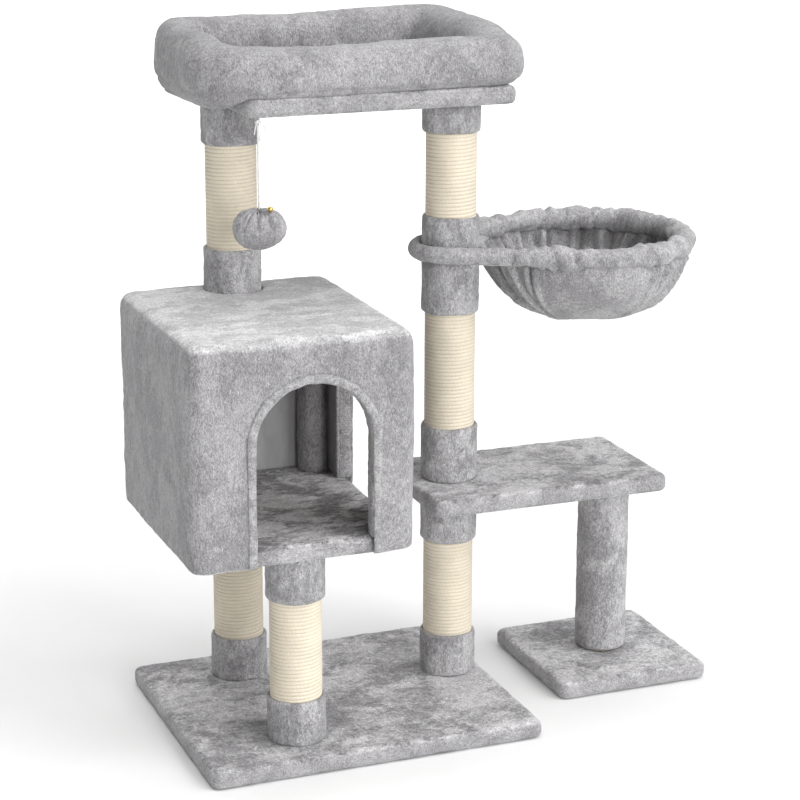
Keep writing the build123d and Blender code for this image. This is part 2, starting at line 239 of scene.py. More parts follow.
def prism(name, outline, place):
    """A closed prism: place(x, y, end) gives each corner of its two ends."""
    n = len(outline)
    verts = [place(x, y, end) for end in (0, 1) for x, y in outline]
    faces = [tuple(range(n))[::-1], tuple(range(n, 2 * n))]
    faces += [(i, (i + 1) % n, n + (i + 1) % n, n + i) for i in range(n)]
    piece = new_object(name, verts, faces)
    face_outward(piece)
    return piece


def upright(z0, z1):
    return lambda x, y, end: (x, y, z1 if end else z0)


def slab_distance(p, centre, size, z0, z1, corner_r, top_r, bottom_r):
    """Distance from a slab with round corners and rounded top and bottom edges."""
    q = np.abs(p[:, :2] - centre) - (np.asarray(size) / 2 - corner_r)
    flat = np.hypot(*np.maximum(q, 0).T) + np.minimum(q.max(1), 0) - corner_r
    r = np.where(p[:, 2] > (z0 + z1) / 2, top_r, bottom_r)
    w = np.stack([flat + r, np.abs(p[:, 2] - (z0 + z1) / 2) - (z1 - z0) / 2 + r], 1)
    return np.minimum(w.max(1), 0) + np.hypot(*np.maximum(w, 0).T) - r


def settle(points, distance, rounds=4, step=1e-4):
    """Moves points onto the surface where the distance is nothing."""
    for _ in range(rounds):
        here = distance(points)
        slope = np.stack(
            [(distance(points + step * axis) - here) / step for axis in np.eye(3)], 1
        )
        points = points - slope * (here / np.maximum((slope**2).sum(1), 0.2))[:, None]
    return points


def slab(name, centre, size, z0, z1, corner_r, top_r, bottom_r, voxel=0.004):
    piece = prism(name, rounded_rect(centre, size, corner_r), upright(z0, z1))
    remesh(piece, voxel)

    def distance(p):
        return slab_distance(p, centre, size, z0, z1, corner_r, top_r, bottom_r)

    set_coords(piece, settle(coords(piece), distance))
    smooth(piece)
    return piece


def node_rect(node):
    """Centre, size, lowest and highest height of a CAD node."""
    lo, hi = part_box(node)
    mid, span = (lo + hi) / 2, hi - lo
    return (mid.x, mid.y), (span.x, span.y), lo.z, hi.z


# ---------------- materials


class Nodes:
    """A material's node tree, with short calls for the nodes used here."""

    def __init__(self, name):
        self.material = bpy.data.materials.new(name)
        self.material.use_nodes = True
        self.tree = self.material.node_tree
        self.shader = self.tree.nodes["Principled BSDF"]
        self.spot = self.add("ShaderNodeTexCoord").outputs["Object"]

    def add(self, kind, **values):
        node = self.tree.nodes.new(kind)
        for key, value in values.items():
            setattr(node, key, value)
        return node

    def link(self, source, target):
        self.tree.links.new(source, target)

    def stretched(self, scale, rotation=(0, 0, 0)):
        node = self.add("ShaderNodeMapping")
        node.inputs["Scale"].default_value = scale
        node.inputs["Rotation"].default_value = rotation
        self.link(self.spot, node.inputs["Vector"])
        return node.outputs["Vector"]

    def noise(self, scale, detail=2.0, rough=0.5, distortion=0.0, vector=None):
        node = self.add("ShaderNodeTexNoise")
        node.inputs["Scale"].default_value = scale
        node.inputs["Detail"].default_value = detail
        node.inputs["Roughness"].default_value = rough
        node.inputs["Distortion"].default_value = distortion
        self.link(vector or self.spot, node.inputs["Vector"])
        return node.outputs["Fac"]

    def ramp(self, value, *stops):
        node = self.add("ShaderNodeValToRGB")
        ramp = node.color_ramp
        while len(ramp.elements) < len(stops):
            ramp.elements.new(0.5)
        for element, (position, color) in zip(ramp.elements, stops):
            element.position = position
            element.color = (*color, 1) if not isinstance(color, float) else (color,) * 3 + (1,)
        self.link(value, node.inputs["Fac"])
        return node.outputs["Color"]

    def mix(self, mode, factor, a, b):
        node = self.add("ShaderNodeMix", data_type="RGBA", blend_type=mode)
        for value, socket in ((factor, node.inputs[0]), (a, node.inputs[6]), (b, node.inputs[7])):
            if isinstance(value, (int, float)):
                socket.default_value = value
            elif isinstance(value, tuple):
                socket.default_value = (*value, 1)
            else:
                self.link(value, socket)
        return node.outputs[2]

    def math(self, operation, a, b=0.0):
        node = self.add("ShaderNodeMath", operation=operation)
        for value, socket in zip((a, b), node.inputs):
            if isinstance(value, (int, float)):
                socket.default_value = value
            else:
                self.link(value, socket)
        return node.outputs[0]

    def bump(self, height, strength, distance, before=None):
        node = self.add("ShaderNodeBump")
        node.inputs["Strength"].default_value = strength
        node.inputs["Distance"].default_value = distance
        self.link(height, node.inputs["Height"])
        if before is not None:
            self.link(before, node.inputs["Normal"])
        return node.outputs["Normal"]

    def finish(self, color, rough, normal=None, **sockets):
        shader = self.shader
        self.link(color, shader.inputs["Base Color"])
        if isinstance(rough, (int, float)):
            shader.inputs["Roughness"].default_value = rough
        else:
            self.link(rough, shader.inputs["Roughness"])
        if normal is not None:
            self.link(normal, shader.inputs["Normal"])
        for key, value in sockets.items():
            shader.inputs[key.replace("_", " ")].default_value = value
        return self.material


def plush(name, dark, light, side=None, nap=(1, 1, 1), patch=24.0, edge=0.05, fibre=(1, 1, 0.5)):
    """Short pile. The nap lies in patches with feathered edges, calmer on upright faces, which also
    take darker colours: painted shade that leaves the tops lighter.
    """
    n = Nodes(name)
    laid = n.stretched(nap)
    patches = n.noise(patch, 3.0, 0.55, 0.6, laid)
    streaks = n.noise(patch * 4.0, 4.0, 0.65, 1.2, laid)
    tufts = n.noise(300.0, 2.0, 0.6, 0.8, n.stretched(fibre))
    fibres = n.noise(760.0, 2.0, 0.65, 0.6, n.stretched(fibre))
    wide = n.noise(patch * 0.35, 2.0, 0.5)
    lie = n.math("ADD", patches, n.math("MULTIPLY", streaks, 0.42))
    lie = n.math("ADD", lie, n.math("MULTIPLY", tufts, 0.16))
    lie = n.math("ADD", lie, n.math("MULTIPLY", wide, 0.45))
    middle = 0.5 * (1 + 0.42 + 0.16 + 0.45)
    crushed = n.add("ShaderNodeMapRange", interpolation_type="SMOOTHSTEP")
    crushed.inputs["From Min"].default_value = middle - edge
    crushed.inputs["From Max"].default_value = middle + edge
    n.link(lie, crushed.inputs["Value"])
    tone = n.math("ADD", n.math("MULTIPLY", crushed.outputs["Result"], 0.66),
                  n.math("MULTIPLY", n.ramp(streaks, (0.36, 0.0), (0.64, 1.0)), 0.34))
    color = n.mix("MIX", tone, dark, light)
    # upright faces take the side colours, darker than the tops: painted shade, as if the tops were
    # lit from above
    if side is not None:
        up = n.add("ShaderNodeSeparateXYZ")
        n.link(n.add("ShaderNodeTexCoord").outputs["Normal"], up.inputs["Vector"])
        painted_top_light = n.ramp(n.math("ABSOLUTE", up.outputs["Z"]), (0.45, 0.0), (0.8, 1.0))
        color = n.mix("MIX", painted_top_light, n.mix("MIX", tone, *side), color)
    color = n.mix("MULTIPLY", 1.0, color, n.ramp(fibres, (0.34, 0.62), (0.66, 1.26)))
    color = n.mix("MULTIPLY", 1.0, color, n.ramp(tufts, (0.34, 0.84), (0.66, 1.12)))
    normal = n.bump(tufts, 0.8, 0.0022)
    normal = n.bump(fibres, 0.7, 0.0012, normal)
    rough = n.ramp(fibres, (0.3, 0.88), (0.7, 1.0))
    return n.finish(
        color, rough, normal,
        Sheen_Weight=0.25, Sheen_Roughness=0.5, Specular_IOR_Level=0.1,
    )


def sisal_rope():
    """Cream rope: twisted strands, pale and tan fibres, and painted shade darkening the grooves
    between strands and the gaps between coils.
    """
    n = Nodes("sisal_rope")
    along = n.add("ShaderNodeAttribute", attribute_name="along").outputs["Fac"]
    across = n.add("ShaderNodeAttribute", attribute_name="across").outputs["Fac"]
    fibres = n.noise(700.0, 4.0, 0.7, 0.4, n.stretched((1, 1, 3.5)))
    blotch = n.noise(22.0, 3.0, 0.6)
    lay = n.math("ADD", n.math("MULTIPLY", along, 2 * math.pi / 0.0056), across)
    twist = n.math("SINE", n.math("ADD", lay, n.math("MULTIPLY", fibres, 1.6)))
    twist = n.math("ADD", n.math("MULTIPLY", twist, 0.5), 0.5)
    color = n.ramp(fibres, (0.30, (0.59, 0.52, 0.40)), (0.55, (0.75, 0.68, 0.555)),
                   (0.75, (0.84, 0.78, 0.67)))
    color = n.mix("MULTIPLY", 1.0, color, n.ramp(blotch, (0.3, 0.90), (0.7, 1.03)))
    # painted shade: a slight darkening in the troughs between the twisted strands
    color = n.mix("MULTIPLY", 0.10, color, n.ramp(twist, (0.0, 0.78), (0.5, 1.0)))
    # painted shade: each coil darkens towards its top and bottom edges, where it meets the next coil
    edge = n.math("ABSOLUTE", across)
    color = n.mix("MULTIPLY", 1.0, color, n.ramp(edge, (0.60, 1.0), (0.86, 0.84)))
    normal = n.bump(twist, 0.10, 0.0004)
    normal = n.bump(fibres, 0.5, 0.0005, normal)
    return n.finish(color, n.ramp(fibres, (0.3, 0.75), (0.7, 0.95)), normal,
                    Sheen_Weight=0.1, Specular_IOR_Level=0.25)


def grained(name, dark, light, scale, stretch=(1, 1, 1), rough=(0.6, 0.8), bump=0.2,
            metallic=0.0, depth=0.0004):
    """A plain hard or papery surface with grain, slight wear and uneven gloss."""
    n = Nodes(name)
    grain = n.noise(scale, 5.0, 0.6, 0.3, n.stretched(stretch))
    wear = n.noise(scale * 0.12, 3.0, 0.6)
    color = n.ramp(grain, (0.32, dark), (0.68, light))
    color = n.mix("MULTIPLY", 1.0, color, n.ramp(wear, (0.3, 0.88), (0.7, 1.04)))
    gloss = n.ramp(grain, (0.3, rough[0]), (0.7, rough[1]))
    return n.finish(color, gloss, n.bump(grain, bump, depth), Metallic=metallic)


PLUSHES = {
    # dark and pale pile, the darker pair for upright faces (painted shade, so tops look lit), the
    # nap's stretch, patches, edge, fibres
    "plush_flat": ((0.185, 0.181, 0.188), (0.660, 0.650, 0.663),
                   ((0.290, 0.285, 0.294), (0.440, 0.432, 0.444)),
                   (0.9, 1.15, 1.0), 22.0, 0.19, (1, 0.6, 1)),
    "plush_wall": ((0.400, 0.395, 0.401), (0.710, 0.702, 0.712),
                   ((0.250, 0.245, 0.253), (0.380, 0.372, 0.383)), (0.8, 1.3, 0.7), 24.0, 0.16),
    "plush_soft": ((0.245, 0.240, 0.248), (0.405, 0.397, 0.408), None, (1, 1, 1), 15.0, 0.20),
    "plush_sleeve": ((0.250, 0.246, 0.253), (0.480, 0.472, 0.483), None, (1, 1, 0.7), 30.0, 0.16),
    "plush_floor": ((0.110, 0.107, 0.113), (0.640, 0.630, 0.640),
                    ((0.260, 0.255, 0.264), (0.440, 0.432, 0.444)),
                    (0.7, 1.2, 1), 20.0, 0.12, (0.6, 1, 1)),
    "plush_basket": ((0.275, 0.270, 0.278), (0.460, 0.452, 0.463), None, (1, 1, 0.6), 22.0, 0.16),
    "binding": ((0.280, 0.275, 0.282), (0.460, 0.452, 0.462), None,
                (1, 1, 1), 60.0, 0.14, (1, 1, 1)),
}
GRAINS = {
    # dark and pale grain, its scale and stretch, roughness, bump, metallic, depth
    "mdf": ((0.36, 0.25, 0.15), (0.52, 0.39, 0.25), 400.0, (1, 1, 1), (0.7, 0.9)),
    "grey_board": ((0.40, 0.40, 0.41), (0.50, 0.50, 0.51), 60.0, (1, 1, 0.4), (0.55, 0.7), 0.08),
    "felt": ((0.010, 0.010, 0.012), (0.045, 0.045, 0.05), 700.0, (1, 1, 1),
             (0.9, 1.0), 0.6, 0.0, 0.0008),
    "paper": ((0.26, 0.17, 0.09), (0.42, 0.30, 0.18), 300.0, (1, 1, 0.1), (0.7, 0.9)),
    "plug": ((0.012, 0.012, 0.013), (0.03, 0.03, 0.032), 900.0, (1, 1, 1), (0.4, 0.55)),
    "brass": ((0.56, 0.38, 0.13), (0.80, 0.60, 0.28), 200.0, (1, 1, 12), (0.2, 0.35), 0.1, 1.0),
    "gold": ((0.62, 0.40, 0.10), (0.90, 0.66, 0.25), 500.0, (1, 1, 1), (0.12, 0.28), 0.1, 1.0),
    "steel": ((0.42, 0.42, 0.43), (0.62, 0.62, 0.64), 300.0, (1, 1, 10), (0.25, 0.45), 0.1, 1.0),
    "wire": ((0.04, 0.04, 0.045), (0.09, 0.09, 0.095), 400.0, (1, 1, 1), (0.35, 0.5)),
    "string": ((0.50, 0.50, 0.49), (0.80, 0.80, 0.79), 900.0, (1, 1, 0.4), (0.7, 0.9), 0.6),
    "thread": ((0.30, 0.30, 0.31), (0.46, 0.46, 0.47), 1500.0, (1, 1, 1), (0.6, 0.8), 0.4),
    "stage": ((0.79, 0.79, 0.79), (0.82, 0.82, 0.82), 3.0, (1, 1, 1), (0.8, 0.9), 0.0),
}
MATERIALS = {name: plush(name, *look) for name, look in PLUSHES.items()}
MATERIALS["sisal"] = sisal_rope()
MATERIALS |= {name: grained(name, *look) for name, look in GRAINS.items()}


def dress(piece, material):
    piece.data.materials.clear()
    piece.data.materials.append(MATERIALS[material])


def place(piece, body, node, slot, material):
    """Finishes a piece that stands for a CAD node."""
    dress(piece, material)
    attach(piece, body)
    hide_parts(node)


# ---------------- toy string, made first

STRING_AT = (-0.2515, -0.060)
STRING_D = 0.003
STRING_HEIGHTS = (0.8324, 0.8200, 0.7380, 0.7240)      # from the knot into the pompom


def thread_curve(name, points, radius):
    """A thread through a list of points, which it only reaches at its two ends."""
    data = bpy.data.curves.new(name, "CURVE")
    data.dimensions = "3D"
    data.bevel_depth = radius
    data.bevel_resolution = 3
    data.use_fill_caps = True
    spline = data.splines.new("NURBS")
    spline.points.add(len(points) - 1)
    for point, co in zip(spline.points, points):
        point.co = (*co, 1)
    spline.order_u = 3
    spline.use_endpoint_u = True
    piece = bpy.data.objects.new(name, data)
    bpy.context.scene.collection.objects.link(piece)
    dress(piece, "string")
    return piece


def toy_string():
    route = [(*STRING_AT, z) for z in STRING_HEIGHTS]
    string = thread_curve("toy_string", route, STRING_D / 2)
    place(string, "toy", "toy_cord", "string", "string")


toy_string()

# ---------------- decks

DECKS = {
    # node: corner radius, material, noise seed
    "base_cover": (0.014, "plush_flat", 11),
    "small_base_cover": (0.014, "plush_flat", 23),
    "step_cover": (0.014, "plush_flat", 37),
    "perch_cover": (0.014, "plush_flat", 41),
    "condo_floor_cover": (0.012, "plush_floor", 53),
}
TOP_EDGE_R, LOW_EDGE_R = 0.0085, 0.0075
FELT_GAP = 0.0006          # the felt lies this far proud of the plush folded under a base
DIMPLE_R, DIMPLE_DEPTH = 0.015, 0.0055
BOLT_HEADS = ((0.284, -0.006, 0.313), (-0.2435, 0.085, 0.8655), (0.039, -0.008, 0.8655))


def bolt_dimples(points):
    """How far down the plush is drawn at each deck bolt that is seen from above."""
    down = np.zeros(len(points))
    for x, y, z in BOLT_HEADS:
        off = np.hypot(points[:, 0] - x, points[:, 1] - y) / DIMPLE_R
        near = np.abs(points[:, 2] - z) < 0.006
        down += np.where(near & (off < 1), 0.5 + 0.5 * np.cos(np.pi * np.minimum(off, 1)), 0)
    return down * DIMPLE_DEPTH


def make_decks():
    for node, (corner_r, material, seed) in DECKS.items():
        centre, size, z0, z1 = node_rect(node)
        name = node.replace("cover", "plush")
        piece = slab(name, centre, size, max(z0, FELT_GAP), z1, corner_r, TOP_EDGE_R, LOW_EDGE_R)
        push(piece, lambda points, out: np.where(out[:, 2] < -0.7, 0.0, pile(points, seed)))
        points = coords(piece)
        points[:, 2] -= bolt_dimples(points)
        set_coords(piece, points)
        place(piece, "tree", node, "plush", material)


make_decks()

# ---------------- posts

SISAL_R = 0.0350           # a post's outer radius over its rope
ROPE_PITCH = 0.0052
ROPE_HALF = (0.0014, 0.0030)      # the coil's half width outward and half height
SLEEVE_INNER_R, STEP_TUBE_R = 0.0352, 0.0306
SEGMENTS = ("left_lower", "front", "right_lower", "right_middle", "right_upper", "left_upper")


def grid_object(name, points, wrap_rows=False, wrap_cols=False, caps=False):
    """A mesh from a grid of points, rows by columns."""
    rows, cols = points.shape[:2]
    faces = grid_faces(rows, cols, wrap_rows, wrap_cols)
    if caps:
        faces += [tuple(range(cols))[::-1], tuple(range((rows - 1) * cols, rows * cols))]
    return new_object(name, points.reshape(-1, 3), faces)


def closed_grid(name, points, wrap_rows=False):
    """A closed tube or ring from a grid of points whose rows go round it."""
    piece = grid_object(name, points, wrap_rows, True, not wrap_rows)
    face_outward(piece)
    smooth(piece)
    return piece


def float_attribute(piece, name, values):
    attribute = piece.data.attributes.new(name, "FLOAT", "POINT")
    attribute.data.foreach_set("value", np.asarray(values, dtype=np.float32).ravel())


def rope_wrap(name, centre, z0, z1, seed):
    """Sisal wound close on a tube, its lie slightly uneven, with both ends closed by caps."""
    per_turn, around = 64, 8
    turns = (z1 - z0 - 2 * ROPE_HALF[1]) / ROPE_PITCH
    n = int(turns * per_turn) + 1
    turn = np.linspace(0, turns, n)
    angle = 2 * np.pi * turn + seed
    probe = np.stack([np.cos(angle) * SISAL_R, np.sin(angle) * SISAL_R, turn * ROPE_PITCH], 1)
    wander = noise3(probe * (1, 1, 0.35), 0.012, seed) * 0.00022
    fat = 1 + 0.035 * noise3(probe + 0.5, 0.016, seed + 3)
    radius = SISAL_R - ROPE_HALF[0] + noise3(probe, 0.02, seed + 5) * 0.00012
    z = z0 + ROPE_HALF[1] + turn * ROPE_PITCH + wander
    phi = full_turn(around)
    r = radius[:, None] + ROPE_HALF[0] * np.cos(phi) * fat[:, None]
    x, y = (centre[k] + r * wave(angle)[:, None] for k, wave in enumerate((np.cos, np.sin)))
    grid = np.stack([x, y, z[:, None] + ROPE_HALF[1] * np.sin(phi) * fat[:, None]], 2)
    piece = grid_object(name, grid, wrap_cols=True, caps=True)
    float_attribute(piece, "along", np.repeat(angle * SISAL_R, around))
    float_attribute(piece, "across", np.tile(np.sin(phi), n))
    smooth(piece)
    return piece


def make_sisal():
    for k, name in enumerate(SEGMENTS):
        node = f"{name}_sisal"
        centre, _, z0, z1 = node_rect(node)
        piece = rope_wrap(f"{name}_rope", centre, z0, z1, 3 * k + 1)
        place(piece, "tree", node, "sisal", "sisal")


make_sisal()


def soft_tube(name, centre, inner_r, outer_r, z0, z1, seed, end_r=0.004):
    """A plush sleeve: a short-piled tube with rolled, slightly uneven ends and one seam."""
    around = 150
    rise = max(6, int((z1 - z0) / 0.0026))
    roll = np.arange(1, 6) / 5 * np.pi / 2
    end = np.stack([outer_r - end_r * (1 - np.sin(roll)), end_r * (1 - np.cos(roll))], 1)
    side = [(outer_r, z) for z in np.linspace(z0 + end_r, z1 - end_r, rise)[1:-1]]
    profile = np.vstack([
        (inner_r, z0 + 0.0005), end + (0, z0), side, end[::-1] * (1, -1) + (0, z1),
        (inner_r, z1 - 0.0005),
    ])
    r, z = (np.repeat(profile[:, [k]], around, 1) for k in (0, 1))
    angle = full_turn(around)
    ring = np.stack([np.cos(angle) * 0.04, np.sin(angle) * 0.04, angle * 0], 1)
    uneven_low = noise3(ring, 0.022, seed + 7) * 0.0011
    uneven_high = noise3(ring + 0.3, 0.022, seed + 8) * 0.0011
    reach = np.clip((z - (z0 + z1) / 2) / (z1 - z0) * 2, -1, 1)
    z = z + np.where(reach > 0, uneven_high, uneven_low) * np.abs(reach)
    seam = bump_at(wrapped(angle - 2.2), 0.035)
    r = r - np.where(r > inner_r + 1e-5, 0.0011 * seam, 0)
    grid = np.stack([centre[0] + r * np.cos(angle), centre[1] + r * np.sin(angle), z], 2)
    piece = grid_object(name, grid, wrap_cols=True)
    smooth(piece)

    def nap(points, out):
        off = np.hypot(points[:, 0] - centre[0], points[:, 1] - centre[1])
        return pile(points, seed) * np.clip((off - inner_r) / 0.002, 0, 1)

    push(piece, nap)
    return piece


def make_sleeves():
    names = sorted(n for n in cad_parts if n.endswith("_sleeve"))
    sleeves = [
        (n, n.replace("sleeve", "cuff"), SLEEVE_INNER_R, 60 + 9 * k) for k, n in enumerate(names)
    ]
    sleeves.append(("step_post_wrap", "step_post_plush", STEP_TUBE_R, 205))
    for node, name, inner_r, seed in sleeves:
        centre, size, z0, z1 = node_rect(node)
        piece = soft_tube(name, centre, inner_r, size[0] / 2, z0, z1, seed)
        place(piece, "tree", node, "plush", "plush_sleeve")


make_sleeves()

# ---------------- condo

CONDO_LOW, CONDO_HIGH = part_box("condo_cover")


def copy_node(node, name):
    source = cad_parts[node]
    mesh = source.data.copy()
    mesh.transform(source.matrix_world)
    piece = bpy.data.objects.new(name, mesh)
    bpy.context.scene.collection.objects.link(piece)
    return piece


def make_condo_cover():
    piece = copy_node("condo_cover", "condo_plush")
    remesh(piece, 0.0032)
    relax = piece.modifiers.new("relax", "SMOOTH")
    relax.factor, relax.iterations = 0.5, 6
    bake_modifiers(piece)
    smooth(piece)
    lo, hi = np.array(CONDO_LOW), np.array(CONDO_HIGH)
    mid, half = (lo + hi) / 2, (hi - lo) / 2

    def padding(points, out):
        """The padding stands out in the middle of each face and sinks at the edges."""
        reach = np.abs(points - mid) / half
        facing = np.abs(out)
        belly = np.zeros(len(points))
        for axis in range(3):
            others = [k for k in range(3) if k != axis]
            swell = np.prod(1 - np.clip(reach[:, others], 0, 1) ** 4, axis=1)
            belly += facing[:, axis] ** 2 * swell
        outer = (reach.max(1) > 0.955).astype(float)
        soft = noise3(points, 0.075, 301) * 0.0014 + noise3(points, 0.16, 302) * 0.0012
        seam = bump_at(points[:, 0] - (lo[0] + 0.002), 0.002)
        return outer * (0.0022 * belly + soft - 0.0012 * seam) + pile(points, 310) * outer

    push(piece, padding)
    place(piece, "tree", "condo_cover", "plush", "plush_wall")


make_condo_cover()


BAND = 0.0115              # the width of a binding
BAND_FOOT = 0.0035         # how deep a binding starts below the wall's face
DOOR_SPRING = 0.449        # where a doorway's sides turn into its arch
TUFT_STEP = 0.0025
STITCH_START, STITCH_EVERY, STITCH_LENGTH = 0.004, 0.0042, 0.0028
STITCH_RADII = (0.0002, 0.00045, 0.0002)


def arch_path(span, apex, low, steps=40):
    """(across, height) points up one side of a doorway, over its top and down the other."""
    rise = apex - DOOR_SPRING
    left = [(-span, low + (DOOR_SPRING - low) * i / 16) for i in range(16)]
    top = [
        (-span * math.cos(math.pi * i / steps), DOOR_SPRING + rise * math.sin(math.pi * i / steps))
        for i in range(steps + 1)
    ]
    coarse = np.array(left + top + [(-x, z) for x, z in left[::-1]])
    fine = []
    for a, b in zip(coarse[:-1], coarse[1:]):
        count = max(1, int(np.hypot(*(b - a)) / TUFT_STEP))
        fine += [a + (b - a) * i / count for i in range(count)]
    return np.array(fine + [coarse[-1]])


def doorway_band(node, axis, outward, low):
    """A function that turns places on a doorway's binding into row-frame points."""
    lo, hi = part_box(node)
    across = 1 - axis
    centre = (lo[across] + hi[across]) / 2
    span = (hi[across] - lo[across]) / 2 - BAND / 2
    base = (hi[axis] if outward > 0 else lo[axis]) - outward * BAND_FOOT
    path = arch_path(span, hi[2] - BAND / 2, low)
    ahead = directions(path)
    side = np.stack([-ahead[:, 1], ahead[:, 0]], 1)

    def lift(off, up):
        """Points at each offset across the band and height above its foot, all along it."""
        flat = path[:, None, :] + side[:, None, :] * off[:, None]
        points = np.empty(flat.shape[:2] + (3,))
        points[..., across] = centre + flat[..., 0]
        points[..., 2] = flat[..., 1]
        points[..., axis] = base + outward * up
        return points

    return lift


def stitch_row(name, edge, out):
    """Short stitches, each thickest in its middle, along a line of points."""
    sides, verts, faces = 5, [], []
    length = distance_along(edge)
    start = STITCH_START
    while start + 0.003 < length[-1]:
        at = start + STITCH_LENGTH * np.array((0, 0.5, 1))
        ends = np.stack([np.interp(at, length, edge[:, k]) for k in range(3)], 1)
        run = ends[-1] - ends[0]
        wide = np.cross(run / np.linalg.norm(run), out)
        first = len(verts)
        for point, r in zip(ends, STITCH_RADII):
            verts += [point + (out * math.cos(t) + wide * math.sin(t)) * r for t in full_turn(sides)]
        for face in grid_faces(len(ends), sides, wrap_cols=True):
            faces.append([first + k for k in face])
        start += STITCH_EVERY
    stitches = new_object(name, verts, faces)
    smooth(stitches)
    dress(stitches, "thread")
    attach(stitches, "tree")


def make_arch_trim(node, name, axis, outward, seed, kind="outer"):
    """Binding round a doorway: its stitched outer band, its inner band, or the lining between."""
    lo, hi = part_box(node)
    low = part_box("condo_floor_cover")[1].z
    if kind == "outer":
        low = min(lo.z, CONDO_LOW.z + 0.003)
    lift = doorway_band(node, axis, outward, low)
    phi = full_turn(18)
    if kind == "lining":
        half_wall = (hi[axis] - lo[axis]) / 2
        off = 0.0012 - BAND / 2 + 0.0022 * np.cos(phi)
        up = BAND_FOOT - half_wall + (half_wall - 0.0010) * soft_power(np.sin(phi), 0.6)
    else:
        off = BAND / 2 * np.cos(phi)
        up = 0.0030 + 0.0030 * soft_power(np.sin(phi), 0.7)
    piece = closed_grid(name, lift(off, up))
    push(piece, lambda points, out: pile(points, seed, 1.6))
    place(piece, "tree", node, "trim", "binding")
    if kind == "outer":
        # the stitches lie in a groove where the band meets the cover
        edge = lift(np.array([0.42 * BAND]), 0.0052)[:, 0]
        stitch_row(f"{name}_stitches", edge, outward * np.eye(3)[axis])


make_arch_trim("front_arch_trim", "front_binding", 1, -1, 401)
make_arch_trim("side_arch_trim", "side_binding", 0, 1, 433)
# the bindings lap round the doorways' edges onto the inside of the walls
make_arch_trim("front_arch_trim", "front_inner_binding", 1, 1, 465, "inner")
make_arch_trim("side_arch_trim", "side_inner_binding", 0, -1, 497, "inner")
make_arch_trim("front_arch_trim", "front_lining", 1, -1, 511, "lining")
make_arch_trim("side_arch_trim", "side_lining", 0, 1, 523, "lining")


def make_corner_post():
    centre, size, z0, z1 = node_rect("condo_corner_post")
    piece = soft_tube("corner_post_plush", centre, 0.004, size[0] / 2, z0, z1, 450, end_r=0.003)
    place(piece, "tree", "condo_corner_post", "plush", "plush_wall")


make_corner_post()

# ---------------- perch bolster


BOLSTER_CENTRE, BOLSTER_SIZE = (-0.0985, 0.0825), (0.460, 0.305)
HOLE_CENTRE, HOLE_SIZE = (-0.102, 0.085), (0.337, 0.200)
BOLSTER_FOOT, BOLSTER_TOP = 0.8655, 0.9430
BOLSTER_POWER = 2.3        # 2 would make its tube an ellipse


def outline_pair(steps):
    """Matched points round the bolster's outer and inner outlines."""
    outer = np.array(rounded_rect(BOLSTER_CENTRE, BOLSTER_SIZE, 0.095, 0.048, 24))
    inner = np.array(rounded_rect(HOLE_CENTRE, HOLE_SIZE, 0.052, 0.012, 24))
    # the left tube is thinner towards the back, and none of it quite fills the outline
    back = np.clip((inner[:, 1] - 0.060) / 0.070, 0, 1)
    inner[:, 0] -= 0.015 * np.clip((-0.180 - inner[:, 0]) / 0.060, 0, 1) * back
    outer[:, 0] += 0.0028 * np.clip((-0.260 - outer[:, 0]) / 0.060, 0, 1)
    # corners match corners: both outlines are read at the same fraction of each side
    outer, inner = (np.vstack([ring, ring[:1]]) for ring in (outer, inner))
    run = distance_along((outer + inner) / 2)
    at = np.linspace(0, run[-1], steps, endpoint=False)
    return [
        np.stack([np.interp(at, run, ring[:, k]) for k in range(2)], 1) for ring in (outer, inner)
    ]


def make_bolster():
    outer, inner = outline_pair(250)
    phi = full_turn(44)
    cx, cz = soft_power(np.cos(phi), 2 / BOLSTER_POWER), soft_power(np.sin(phi), 2 / BOLSTER_POWER)
    mid, half = (outer + inner) / 2, (outer - inner) / 2
    swell = 1 + 0.0035 / np.linalg.norm(half, axis=1)
    place_xy = mid[:, None, :] + (half * swell[:, None])[:, None, :] * cx[None, :, None]
    x, y = mid[:, 0], mid[:, 1]
    # the front tube lies lower than the back one, lowest in its middle
    front = np.clip((0.045 - y) / 0.075, 0, 1)
    front = front * front * (3 - 2 * front)
    sag = front * (0.0125 + 0.003 * bump_at(x + 0.150, 0.085))
    sag += 0.003 * np.clip((y - 0.15) / 0.04, 0, 1) * bump_at(x + 0.16, 0.08)
    sag -= 0.003 * bump_at(x - 0.075, 0.05) * bump_at(y - 0.205, 0.05)
    # its outer side hangs below the top of the deck, most of all past the deck's left edge
    past_left = np.clip((-0.262 - place_xy[..., 0]) / 0.028, 0, 1)
    outside = np.clip(cx, 0, 1)[None, :]
    hang = 0.009 * outside**1.5
    hang = hang + (0.0175 - hang) * past_left
    low_front = 0.004 * front[:, None] * np.clip((0.02 - x) / 0.15, 0, 1)[:, None]
    foot = BOLSTER_FOOT - hang - low_front * outside
    z = foot + ((BOLSTER_TOP - sag)[:, None] - foot) * (0.5 + 0.5 * cz[None, :])
    return closed_grid("bolster", np.concatenate([place_xy, z[..., None]], 2), wrap_rows=True)


# creases inside the bolster: angle from its middle, width and depth, deepest at the corners
BOLSTER_CREASES = (
    (0.80, 0.05, 0.0085), (2.35, 0.06, 0.006), (-0.80, 0.06, 0.006), (-2.3, 0.06, 0.006),
    (1.25, 0.035, 0.0028), (1.62, 0.04, 0.0030), (1.95, 0.03, 0.0024), (0.35, 0.05, 0.003),
    (2.75, 0.05, 0.003), (-1.35, 0.04, 0.0026), (-1.75, 0.035, 0.0024),
)


